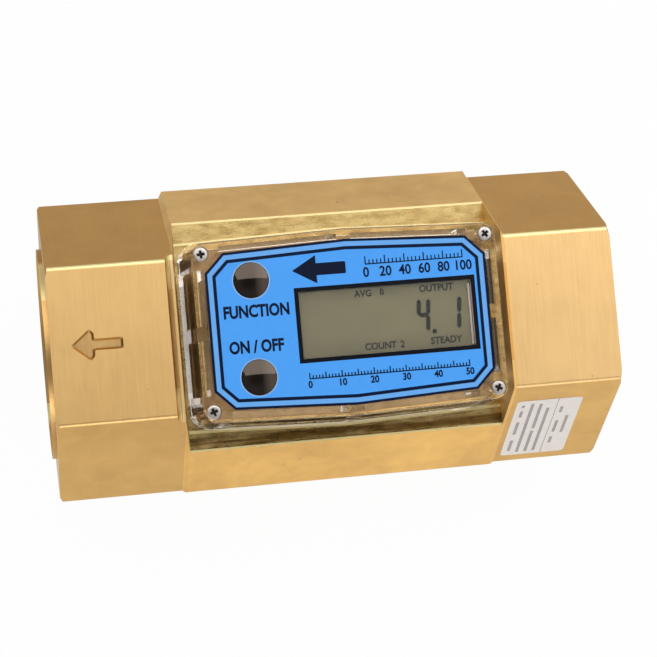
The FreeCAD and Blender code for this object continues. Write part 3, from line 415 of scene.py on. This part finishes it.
def makeFinish(name, light, dark, rough, scale, stretch=(1, 1, 1), metal=0.0, bump=0.1, height=0.03,
               coat=0.0, shine=0.5, speckle=None):
    finish, tree, shader = newFinish(name, Metallic=metal, Coat_Weight=coat, Specular_IOR_Level=shine)
    body = grain(tree, stretched(tree, [scale * s for s in stretch]), detail=4.0)
    cloud = grain(tree, places(tree), 45)
    share = calc(tree, "ADD", remap(tree, body, 0.3, 0.7, 0.0, 0.7), remap(tree, cloud, 0.35, 0.65, 0.0, 0.3))
    tone = blendColour(tree, share, light, dark)
    if speckle:
        dots = remap(tree, spots(tree, 1400), 0.10, 0.16, 0.8, 0.0)
        tone = blendColour(tree, dots, tone, speckle)
    setSocket(shader, "Base Color", tone)
    setSocket(shader, "Roughness", remap(tree, body, 0.3, 0.7, rough[0], rough[1]))
    addBump(tree, shader, body, bump, height * mm)
    return finish


def makeButtonBlack():
    # polished near-black caps whose shine leans to brown
    finish, tree, shader = newFinish("glossBlack", IOR=1.8, Specular_Tint=(1.0, 0.80, 0.66))
    body = grain(tree, places(tree), 500, 4.0)
    wipe = grain(tree, stretched(tree, (60, 300, 60)), detail=3.0)
    setSocket(shader, "Base Color", blendColour(tree, body, (0.006, 0.004, 0.004), (0.002, 0.002, 0.002)))
    setSocket(shader, "Roughness", remap(tree, wipe, 0.35, 0.7, 0.03, 0.09))
    addBump(tree, shader, wipe, 0.05, 0.04 * mm)
    return finish


print("finishes ready")

satinBrass = makeBrass()
dress(["meter_body"], satinBrass)
dress(["display_housing"], makeClearPlastic())
dress(["window_lens"], makeClearLens())
dress(["face_label"], makeFacePrint())
dress(["window_frame"], makeFinish(
    "frameInk", (0.003, 0.004, 0.010), (0.001, 0.002, 0.005), (0.30, 0.42), 900, shine=0.14))
dress(["display_cell"], makeFinish(
    "displayGlass", (0.150, 0.127, 0.068), (0.128, 0.108, 0.058), (0.16, 0.26), 160, bump=0.02, shine=0.3))
dress(["display_reflector"], makeFinish("foil", (0.30, 0.28, 0.18), (0.24, 0.22, 0.14), (0.4, 0.6), 700))
dress(["display_connectors"], makeFinish(
    "stripRubber", (0.10, 0.09, 0.09), (0.01, 0.01, 0.01), (0.6, 0.8), 40, (200, 1, 1)))
dress(["upper_button", "lower_button"], makeButtonBlack())
dress(["housing_gasket"], makeFinish(
    "gasketRubber", (0.56, 0.39, 0.20), (0.36, 0.235, 0.11), (0.5, 0.75), 500))
screwSteel = makeFinish(
    "screwSteel", (0.84, 0.78, 0.73), (0.60, 0.55, 0.51), (0.28, 0.42), 900, metal=1.0, bump=0.2)
dress(["housing_screws"], screwSteel)
dress(["electronics_case", "coil_bobbin"], makeFinish(
    "casePlastic", (0.50, 0.37, 0.23), (0.32, 0.22, 0.13), (0.35, 0.6), 350, bump=0.2))
dress(["circuit_board"], makeFinish(
    "boardGreen", (0.02, 0.16, 0.06), (0.008, 0.07, 0.025), (0.25, 0.4), 220,
    coat=0.3, speckle=(0.55, 0.50, 0.32)))
dress(["board_components", "button_switches"], makeFinish(
    "chipBlack", (0.030, 0.030, 0.032), (0.012, 0.012, 0.013), (0.45, 0.65), 1200, bump=0.25))
dress(["left_coin_cell", "right_coin_cell", "battery_contacts"], makeFinish(
    "cellSteel", (0.72, 0.71, 0.68), (0.52, 0.51, 0.49), (0.22, 0.38), 700, (1, 12, 1), metal=1.0))
dress(["pickup_coil"], makeFinish(
    "copperWire", (0.66, 0.26, 0.09), (0.28, 0.09, 0.03), (0.2, 0.4), 60,
    (1, 1, 90), metal=1.0, bump=0.6, height=0.08))
dress(["coil_core", "signal_pins"], makeFinish(
    "coreSteel", (0.48, 0.48, 0.47), (0.30, 0.30, 0.30), (0.25, 0.4), 600, metal=1.0))
dress(["rotor", "inlet_support", "outlet_support"], makeFinish(
    "turbinePlastic", (0.80, 0.78, 0.71), (0.66, 0.63, 0.55), (0.32, 0.5), 260, bump=0.15))
dress(["rotor_shaft"], makeFinish(
    "shaftCarbide", (0.34, 0.34, 0.35), (0.24, 0.24, 0.25), (0.12, 0.22), 1500, (20, 1, 1), metal=1.0))
dress(["inlet_bearing", "outlet_bearing"], makeFinish(
    "bearingCeramic", (0.90, 0.88, 0.82), (0.80, 0.77, 0.70), (0.1, 0.2), 900, coat=0.3))
dress(["inlet_retaining_ring", "outlet_retaining_ring"], makeFinish(
    "ringSteel", (0.60, 0.60, 0.59), (0.36, 0.36, 0.36), (0.25, 0.42), 500, (6, 1, 1), metal=1.0))
print("parts dressed")


# Modelling helpers: select by place, name what was made, settle its place into the mesh

def clearSelection():
    bpy.ops.object.select_all(action="DESELECT")


def only(piece):
    clearSelection()
    piece.select_set(True)
    bpy.context.view_layer.objects.active = piece


def settle(name, finish=None, body="meter"):
    piece = bpy.context.active_object
    bpy.ops.object.transform_apply(location=True, rotation=True, scale=True)
    piece.name = name
    piece.data.name = name
    if finish:
        piece.data.materials.clear()
        piece.data.materials.append(finish)
    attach(piece, body)
    return piece


def pickPoints(test):
    # leaves the points that pass the test selected, in edit mode
    piece = bpy.context.active_object
    bpy.ops.object.mode_set(mode="EDIT")
    bpy.ops.mesh.select_mode(type="VERT")
    bpy.ops.mesh.select_all(action="DESELECT")
    bpy.ops.object.mode_set(mode="OBJECT")
    for point in piece.data.vertices:
        point.select = test(point.co)
    bpy.ops.object.mode_set(mode="EDIT")


def pickEdges(test):
    # leaves the edges whose two ends pass the test selected, in edit mode
    piece = bpy.context.active_object
    bpy.ops.object.mode_set(mode="EDIT")
    bpy.ops.mesh.select_mode(type="EDGE")
    bpy.ops.mesh.select_all(action="DESELECT")
    bpy.ops.object.mode_set(mode="OBJECT")
    points = piece.data.vertices
    for edge in piece.data.edges:
        edge.select = test(points[edge.vertices[0]].co, points[edge.vertices[1]].co)
    bpy.ops.object.mode_set(mode="EDIT")


def leaveEdit():
    bpy.ops.mesh.select_all(action="DESELECT")
    bpy.ops.object.mode_set(mode="OBJECT")


def joinAll(pieces):
    clearSelection()
    for piece in pieces:
        piece.select_set(True)
    bpy.context.view_layer.objects.active = pieces[0]
    if len(pieces) > 1:
        bpy.ops.object.join()
    return bpy.context.active_object


def copyTo(piece, place, turn=0.0):
    only(piece)
    bpy.ops.object.duplicate(linked=False)
    copy = bpy.context.active_object
    copy.location = place
    copy.rotation_euler[2] = turn
    bpy.ops.object.transform_apply(location=True, rotation=True, scale=True)
    return copy


def carve(piece, other, operation):
    # joins another solid to the piece or cuts it away
    only(piece)
    cut = piece.modifiers.new("carve", "BOOLEAN")
    cut.operation = operation
    cut.solver = "EXACT"
    cut.material_mode = "TRANSFER"
    cut.object = other
    bpy.ops.object.modifier_apply(modifier="carve")


def dropPieces(pieces):
    clearSelection()
    for piece in pieces:
        piece.select_set(True)
    bpy.ops.object.delete()


def addSlab(size, place=(0, 0, 0), corner=0.0, segments=1):
    # a flat slab with its upright corners cut or rounded
    clearSelection()
    bpy.ops.mesh.primitive_cube_add(size=1, location=place)
    slab = bpy.context.active_object
    slab.scale = size
    bpy.ops.object.transform_apply(location=False, rotation=False, scale=True)
    if corner:
        pickEdges(lambda first, last: abs(first.z - last.z) > size[2] / 2)
        bpy.ops.mesh.bevel(offset=corner, segments=segments, affect="EDGES")
        leaveEdit()
    bpy.ops.object.transform_apply(location=True, rotation=True, scale=True)
    return slab


wordThick = 0.04 * mm


def addWord(word, size, place, stretch, weight):
    # a flat word whose letters are made heavier by their weight
    clearSelection()
    bpy.ops.object.text_add(location=(0, 0, 0))
    text = bpy.context.active_object
    text.data.body = word
    text.data.size = size
    text.data.align_x = "CENTER"
    text.data.align_y = "CENTER"
    text.data.offset = weight
    text.data.extrude = wordThick / 2
    text.data.resolution_u = 3
    bpy.ops.object.convert(target="MESH")
    text = bpy.context.active_object
    text.scale = (stretch, 1, 1)
    text.location = place
    bpy.ops.object.transform_apply(location=True, rotation=True, scale=True)
    return text


# Display figures: seven-bar digits and small flags, printed just above the cell

inkDark = makeFinish("displayInk", (0.009, 0.007, 0.004), (0.004, 0.003, 0.002), (0.3, 0.5), 900, shine=0.1)
inkNavy = makeFinish("labelInk", (0.001, 0.007, 0.034), (0.0005, 0.004, 0.02), (0.35, 0.5), 900, shine=0.14)

figures = {
    "height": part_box("display_cell")[1][2] + 0.05 * mm,
    "thick": 0.06 * mm,
    "bar": 1.25 * mm,
    "gap": 0.14 * mm,
    "middle": 0.75 * mm,
    "halfHeight": 4.55 * mm,
    "halfWidth": 1.38 * mm,
    "slant": 0.088,
    "digits": ((23.85 * mm, "4"), (32.9 * mm, "1")),
    "dot": (26.7 * mm, -4.05 * mm),
    "flags": (("AVG", 7.0, 8.1, 2.05), ("B", 12.45, 8.2, 1.9), ("OUTPUT", 28.2, 8.2, 2.1),
              ("STEADY", 29.85, -6.8, 2.1), ("COUNT", 10.8, -7.0, 2.1), ("2", 17.1, -7.0, 2.1)),
    "flagGrowth": 1.3,
    "flagStretch": 0.92,
    "flagWeight": 0.085 * mm,
    "barPoint": 0.42,
}
# each bar of a digit: across and up from its middle in half widths and half heights, and its turn
bars = {"b": (1, 0.5, 0), "c": (1, -0.5, 0), "f": (-1, 0.5, 0), "g": (0, 0, 1)}
lit = {"4": "bcfg", "1": "bc"}


def makeFigures():
    wide, thick = figures["bar"], figures["thick"]
    point = wide * figures["barPoint"]
    upright = addSlab((wide, figures["halfHeight"] - figures["gap"], thick), corner=point)
    level = addSlab((figures["halfWidth"] * 2 - figures["gap"], wide, thick), corner=point)
    pieces = []
    for across, digit in figures["digits"]:
        for bar in lit[digit]:
            right, up, flat = bars[bar]
            rise = up * figures["halfHeight"]
            side = across + right * figures["halfWidth"] + rise * figures["slant"]
            pieces.append(copyTo(level if flat else upright,
                                 (side, figures["middle"] + rise, figures["height"]),
                                 0.0 if flat else -figures["slant"]))
    dropPieces([upright, level])
    dot = addSlab((wide, wide, thick), (*figures["dot"], figures["height"]), corner=wide * 0.2)
    words = [addWord(word, size * figures["flagGrowth"] * mm, (x * mm, y * mm, figures["height"]),
                     figures["flagStretch"], figures["flagWeight"])
             for word, x, y, size in figures["flags"]]
    joinAll(pieces + [dot] + words)
    settle("displayFigures", inkDark)


makeFigures()
print("display figures")

# Printed face: words by the buttons, a flow arrow and number scales in navy ink

marks = {
    "height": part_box("face_label")[1][2] + 0.01 * mm,
    "thick": 0.05 * mm,
    "wordSize": 4.7 * mm,
    "wordStretch": 0.78,
    "wordWeight": 0.17 * mm,
    "words": (("FUNCTION", -23.9, 5.4), ("ON / OFF", -24.7, -4.5)),
    "arrowHead": (-8.4 * mm, 4.6 * mm),
    "arrowShaft": (-6.6 * mm, 2.3 * mm, 3.4 * mm),
    "arrowRow": 15.9 * mm,
    "headBevel": 0.25 * mm,
    "shaftCorner": 0.4 * mm,
    "tickWidth": 0.34 * mm,
    "ruleWidth": 0.32 * mm,
    "shortTick": 0.55,
    "numberStretch": 0.9,
    "numberWeight": 0.09 * mm,
}


def makeWords():
    joinAll([addWord(word, marks["wordSize"], (x * mm, y * mm, marks["height"]),
                     marks["wordStretch"], marks["wordWeight"])
             for word, x, y in marks["words"]])
    settle("buttonWords", inkNavy)


def makeScale(name, left, right, base, steps, numbers, size, tall):
    high, thick = marks["height"], marks["thick"]
    pieces = [addSlab((right - left + marks["tickWidth"], marks["ruleWidth"], thick),
                      ((left + right) / 2, base, high), 0.08 * mm)]
    tick = addSlab((marks["tickWidth"], 1.0, thick))
    pitch = (right - left) / steps
    for step in range(steps + 1):
        length = tall if step % 5 == 0 else tall * marks["shortTick"]
        mark = copyTo(tick, (left + step * pitch, base + length / 2, high))
        only(mark)
        pieces.append(mark)
        bpy.ops.transform.resize(value=(1, length, 1), center_override=(0, base + length / 2, high))
        bpy.ops.object.transform_apply(location=True, rotation=True, scale=True)
    dropPieces([tick])
    for k, number in enumerate(numbers):
        across = left + (right - left) * k / (len(numbers) - 1)
        pieces.append(addWord(str(number), size, (across, base - size * 0.62, high),
                              marks["numberStretch"], marks["numberWeight"]))
    joinAll(pieces)
    settle(name, inkNavy)


def makeFlowMark():
    # a bold arrow that points to the outlet
    clearSelection()
    middle, radius = marks["arrowHead"]
    bpy.ops.mesh.primitive_cylinder_add(vertices=3, radius=radius, depth=marks["thick"],
                                        rotation=(0, 0, math.radians(90)))
    head = bpy.context.active_object
    bpy.ops.object.transform_apply(location=True, rotation=True, scale=True)
    pickEdges(lambda first, last: abs(first.z - last.z) > marks["thick"] / 2)
    bpy.ops.mesh.bevel(offset=marks["headBevel"], segments=3, affect="EDGES")
    leaveEdit()
    head.location = (middle, marks["arrowRow"], marks["height"])
    bpy.ops.object.transform_apply(location=True, rotation=True, scale=True)
    start, end, wide = marks["arrowShaft"]
    shaft = addSlab((end - start, wide, marks["thick"]),
                    ((start + end) / 2, marks["arrowRow"], marks["height"]), marks["shaftCorner"], 3)
    carve(head, shaft, "UNION")
    dropPieces([shaft])
    only(head)
    settle("flowMark", inkNavy)


makeWords()
makeScale("upperScale", 8.0 * mm, 36.0 * mm, 16.3 * mm, 25, (0, 20, 40, 60, 80, 100), 3.9 * mm, 2.2 * mm)
makeScale("lowerScale", -10.5 * mm, 35.4 * mm, -14.6 * mm, 50, (0, 10, 20, 30, 40, 50), 2.7 * mm, 1.7 * mm)
makeFlowMark()
print("printed face")

# Housing screws: pan heads with a rounded crown and a cross recess, at the CAD screws' places

screw = {
    "head": 2.1 * mm,
    "top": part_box("housing_screws")[1][2],
    "thick": 1.3 * mm,
    "crown": 0.5 * mm,
    "shank": 1.1 * mm,
    "tip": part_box("housing_screws")[0][2],
    "arm": 1.4 * mm,
    "slot": 0.50 * mm,
    "recess": 0.95 * mm,
    "recessTaper": 0.6,
    "tipBevel": 0.35 * mm,
    "overlap": 0.05 * mm,
    "smoothAngle": math.radians(32),
    "places": ((-38.1, -21.55), (43.3, -21.55), (43.3, 22.45), (-38.1, 22.45)),
    "turns": (20, 65, 35, 5),
}
# painted shade: the cross recess walls take a dark finish
recessShade = makeFinish("recessShade", (0.05, 0.04, 0.035), (0.015, 0.012, 0.01), (0.4, 0.6), 900, metal=0.6)


def makeScrewHead():
    clearSelection()
    bpy.ops.mesh.primitive_cylinder_add(vertices=40, radius=screw["head"], depth=screw["thick"])
    head = bpy.context.active_object
    head.data.materials.append(screwSteel)
    half = screw["thick"] / 2
    pickEdges(lambda first, last: first.z > half * 0.9 and last.z > half * 0.9)
    bpy.ops.mesh.bevel(offset=screw["crown"], segments=5, affect="EDGES")
    leaveEdit()
    long, narrow, deep = screw["arm"] * 2, screw["slot"] * 2, screw["recess"] * 2
    arms = [addSlab((long, narrow, deep), (0, 0, half)), addSlab((narrow, long, deep), (0, 0, half))]
    for arm in arms:
        only(arm)
        arm.data.materials.append(recessShade)
        pickPoints(lambda co: co.z < half)
        taper = screw["recessTaper"]
        bpy.ops.transform.resize(value=(taper, taper, 1), center_override=(0, 0, half))
        leaveEdit()
        carve(head, arm, "DIFFERENCE")
    dropPieces(arms)
    return head


def makeScrews():
    head = makeScrewHead()
    half = screw["thick"] / 2
    clearSelection()
    length = screw["top"] - screw["thick"] - screw["tip"]
    bpy.ops.mesh.primitive_cylinder_add(vertices=24, radius=screw["shank"], depth=length,
                                        location=(0, 0, -half - length / 2 + screw["overlap"]))
    shank = bpy.context.active_object
    shank.data.materials.append(screwSteel)
    bpy.ops.object.transform_apply(location=True, rotation=True, scale=True)
    pickEdges(lambda first, last: max(first.z, last.z) < screw["tip"] - screw["top"] + half + 0.2 * mm)
    bpy.ops.mesh.bevel(offset=screw["tipBevel"], segments=1, affect="EDGES")
    leaveEdit()
    model = joinAll([head, shank])
    bpy.ops.object.shade_smooth_by_angle(angle=screw["smoothAngle"])
    copies = [copyTo(model, (x * mm, y * mm, screw["top"] - half), math.radians(turn))
              for (x, y), turn in zip(screw["places"], screw["turns"])]
    dropPieces([model])
    joinAll(copies)
    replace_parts(settle("panScrews"), "housing_screws")


makeScrews()
print("housing screws")

# Pipe threads: one ridge wound along each socket, inside the CAD bore

thread = {
    "pitch": 2.209 * mm,
    "wall": 29.4 * mm,
    "depth": 1.15 * mm,
    "ridgeShare": 0.55,
    "ridgeNarrowing": 0.94,
    "gap": 0.01 * mm,
    "turnSteps": 72,
    "smoothAngle": math.radians(40),
    "axisHeight": 39.25 * mm,
    "start": 57.6 * mm,
    "end": 80.6 * mm,
}


def makeThread(name, side):
    clearSelection()
    bpy.ops.mesh.primitive_circle_add(vertices=3, radius=thread["pitch"] * thread["ridgeShare"],
                                      fill_type="NOTHING", rotation=(math.radians(90), 0, 0))
    ridge = bpy.context.active_object
    bpy.ops.object.transform_apply(location=True, rotation=True, scale=True)
    low = min(point.co.z for point in ridge.data.vertices)
    high = max(point.co.z for point in ridge.data.vertices)
    ridge.scale = (thread["ridgeNarrowing"], 1, thread["depth"] / (high - low))
    bpy.ops.object.transform_apply(location=False, rotation=False, scale=True)
    bpy.ops.transform.rotate(value=math.pi, orient_axis="Y", center_override=(0, 0, 0))
    bpy.ops.object.transform_apply(location=True, rotation=True, scale=True)
    top = max(point.co.z for point in ridge.data.vertices)
    pickPoints(lambda co: True)
    rise = thread["wall"] - top - thread["gap"]
    bpy.ops.transform.translate(value=(thread["start"] * side, 0, rise))
    leaveEdit()
    wind = ridge.modifiers.new("wind", "SCREW")
    wind.axis = "X"
    wind.steps = thread["turnSteps"]
    wind.render_steps = thread["turnSteps"]
    wind.iterations = int((thread["end"] - thread["start"]) / thread["pitch"])
    wind.screw_offset = thread["pitch"] * side
    wind.use_merge_vertices = False
    bpy.ops.object.modifier_apply(modifier="wind")
    pickPoints(lambda co: True)
    bpy.ops.mesh.normals_make_consistent(inside=False)
    leaveEdit()
    bpy.ops.object.shade_smooth_by_angle(angle=thread["smoothAngle"])
    ridge.location = (0, 0, thread["axisHeight"])
    settle(name, satinBrass)


makeThread("inletThread", 1)
makeThread("outletThread", -1)
print("pipe threads")

# Sticker on the lower slanted flat of the inlet end: white, rounded, with plain bars

sticker = {
    "start": 51.4 * mm,
    "end": 71.2 * mm,
    "top": 8.3 * mm,
    "bottom": 40.0 * mm,
    "divider": 63.9 * mm,
    "thick": 0.12 * mm,
    "corner": 1.1 * mm,
    "inkThick": 0.03 * mm,
    "inkHeight": 0.14 * mm,
    "dividerWidth": 0.22 * mm,
    "barWidth": 0.95 * mm,
    "lean": 60,
    "edge": (-22.0 * mm, 77.35 * mm),
    # each bar: place along the flow axis, and its start and end down the face
    "bars": ((53.6, 2.6, 9.0), (53.6, 12.5, 19.8), (53.6, 22.6, 26.0), (53.6, 28.0, 29.4),
             (56.3, 1.6, 30.0), (58.9, 1.6, 14.0), (58.9, 15.4, 29.6), (61.4, 1.6, 27.0),
             (65.7, 5.6, 9.4), (65.7, 12.2, 19.0), (65.7, 23.6, 27.0), (68.3, 11.6, 21.6)),
}


def makeSticker():
    # built flat, x along the meter and y up the face, then leaned onto the slanted flat
    wide, tall = sticker["end"] - sticker["start"], sticker["bottom"] - sticker["top"]
    middle = ((sticker["start"] + sticker["end"]) / 2, -(sticker["top"] + sticker["bottom"]) / 2)
    sheet = addSlab((wide, tall, sticker["thick"]), (*middle, sticker["thick"] / 2), sticker["corner"], 5)
    settle("sticker", stickerPaper)
    high = sticker["inkHeight"]
    line = addSlab((sticker["dividerWidth"], tall, sticker["inkThick"]),
                   (sticker["divider"], middle[1], high))
    settle("stickerDivider", stickerInk)
    pieces = [line]
    for across, first, last in sticker["bars"]:
        place = (across * mm, -sticker["bottom"] + (first + last) / 2 * mm, high)
        size = (sticker["barWidth"], (last - first) * mm, sticker["inkThick"])
        pieces.append(addSlab(size, place, 0.2 * mm))
    bars = joinAll(pieces)
    settle("stickerBars", stickerInk)
    for piece in (sheet, bars):
        only(piece)
        turn = Matrix.Rotation(math.radians(sticker["lean"]), 4, "X")
        piece.matrix_world = Matrix.Translation((0, *sticker["edge"])) @ turn
        bpy.ops.object.transform_apply(location=True, rotation=True, scale=True)


stickerPaper = makeFinish("stickerPaper", (0.97, 0.90, 0.84), (0.90, 0.83, 0.77), (0.35, 0.5), 500)
stickerInk = makeFinish("stickerInk", (0.50, 0.45, 0.43), (0.38, 0.34, 0.33), (0.5, 0.7), 800)
makeSticker()
print("sticker")

# Glass edge inside the window's right side

glassEdge = {
    "size": (0.45 * mm, 17.3 * mm, 0.5 * mm),
    "place": (37.5 * mm, 0.15 * mm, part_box("display_cell")[1][2] + 0.3 * mm),
    "corner": 0.08 * mm,
}
edgeGlass = makeFinish("glassEdge", (0.66, 0.52, 0.47), (0.45, 0.34, 0.30), (0.2, 0.35), 700)
addSlab(glassEdge["size"], glassEdge["place"], glassEdge["corner"], 2)
settle("glassEdge", edgeGlass)

# Stage: pale floor, one overhead softbox, a fill and the sky

stage = {
    "floorSize": 6.0,
    "floorTone": (0.82, 0.82, 0.81),
    "shownWhite": 0.97,
    "farGlow": 0.68,
    "nearGlow": 0.92,
    "leftDim": 0.88,
    "nearFar": (-60 * mm, 60 * mm),
    "leftRight": (-140 * mm, 90 * mm),
    "softbox": ((0.40, 0.84, 1.15), (2.6, 1.5), 21.5),
    "fill": ((-0.1, -1.2, 0.75), (1.2, 0.5), 7.0),
    "skyGlow": 0.30,
    "mirrorGlow": 0.20,
    "zenithGlow": 0.08,
    "eastGlow": 0.7,
    "westDim": 0.5,
}


def makeFloor():
    bpy.ops.mesh.primitive_plane_add(size=stage["floorSize"], location=(0, 0, -0.2 * mm))
    floor = bpy.context.active_object
    bpy.ops.object.transform_apply(location=True)
    floor.name = "floor"
    finish, tree, shader = newFinish("paleFloor", Roughness=0.9)
    paper = grain(tree, places(tree), 14)
    tone = blendColour(tree, remap(tree, paper, 0.3, 0.7, 0.0, 0.03), stage["floorTone"], (0.7, 0.7, 0.7))
    setSocket(shader, "Base Color", tone)
    ray = addNode(tree, "LightPath")
    across, side = split(tree, places(tree))[:2]
    mirrored = calc(tree, "MULTIPLY",
                    remap(tree, side, *stage["nearFar"], stage["nearGlow"], stage["farGlow"]),
                    remap(tree, across, *stage["leftRight"], stage["leftDim"], 1.0))
    strength = blendValue(tree, ray.outputs["Is Glossy Ray"], 1.0, mirrored)
    glow = addNode(tree, "Emission", Color=(1.0, 1.0, 1.0), Strength=strength)
    seen = total(tree, "MAXIMUM", [ray.outputs["Is Camera Ray"], ray.outputs["Is Glossy Ray"],
                                   ray.outputs["Is Transmission Ray"]])
    mix = addNode(tree, "MixShader")
    setSocket(mix, 0, calc(tree, "MULTIPLY", seen, stage["shownWhite"]))
    setSocket(mix, 1, shader.outputs[0])
    setSocket(mix, 2, glow.outputs[0])
    setSocket(tree.nodes["Material Output"], "Surface", mix.outputs[0])
    floor.data.materials.append(finish)


def addLamp(name, place, size, power):
    clearSelection()
    bpy.ops.object.light_add(type="AREA", location=place)
    lamp = bpy.context.active_object
    lamp.name = name
    lamp.data.shape = "RECTANGLE"
    lamp.data.size = size[0]
    lamp.data.size_y = size[1]
    lamp.data.energy = power
    lamp.rotation_mode = "QUATERNION"
    aim = Vector((0, -place[1], 0.05 - place[2]))  # turned about the flow axis only
    lamp.rotation_quaternion = aim.to_track_quat("-Z", "Y")


def makeSky():
    # white to look at, soft grey as light; polished faces see it darker overhead and low in the west
    sky = bpy.data.worlds.new("sky")
    sky.use_nodes = True
    tree = sky.node_tree
    ray = addNode(tree, "LightPath")
    east, _, up = split(tree, addNode(tree, "TexCoord").outputs["Generated"])
    overhead = remap(tree, up, 0.90, 0.99, stage["mirrorGlow"], stage["zenithGlow"])
    overhead = calc(tree, "ADD", overhead, remap(tree, east, 0.24, 0.60, 0.0, stage["eastGlow"]))
    lowWest = calc(tree, "MULTIPLY", remap(tree, east, -0.85, -0.45, 1.0, 0.0),
                   remap(tree, up, 0.3, 0.7, 1.0, 0.0))
    dimmed = calc(tree, "SUBTRACT", 1.0, calc(tree, "MULTIPLY", lowWest, stage["westDim"]))
    overhead = calc(tree, "MULTIPLY", overhead, dimmed)
    glow = blendValue(tree, ray.outputs["Is Glossy Ray"], stage["skyGlow"], overhead)
    seen = calc(tree, "MAXIMUM", ray.outputs["Is Camera Ray"], ray.outputs["Is Transmission Ray"])
    glow = blendValue(tree, seen, glow, 1.0)
    background = tree.nodes["Background"]
    setSocket(background, "Color", (1.0, 1.0, 1.0))
    setSocket(background, "Strength", glow)
    bpy.context.scene.world = sky


clearSelection()
makeFloor()
addLamp("softbox", *stage["softbox"])
addLamp("fill", *stage["fill"])
makeSky()
bpy.context.scene.view_settings.view_transform = "Standard"

# Camera: from above and a little to the outlet side, turned so the flow axis rises to the right

shot = {
    "place": (-91.48 * mm, -23.64 * mm, 613.94 * mm),
    "aim": (0.1619, 0.0420, -0.9859),
    "up": (0.0796, 0.9953, 0.0554),
    "lens": 105.56,
}
cameraData = bpy.data.cameras.new("camera")
cameraData.lens = shot["lens"]
cameraData.sensor_width = 36.0
camera = bpy.data.objects.new("camera", cameraData)
bpy.context.scene.collection.objects.link(camera)
back = -Vector(shot["aim"]).normalized()
right = Vector(shot["up"]).cross(back).normalized()
turn = Matrix((right, back.cross(right), back)).transposed()
camera.matrix_world = Matrix.Translation(shot["place"]) @ turn.to_4x4()
bpy.context.scene.camera = camera
print("stage set")
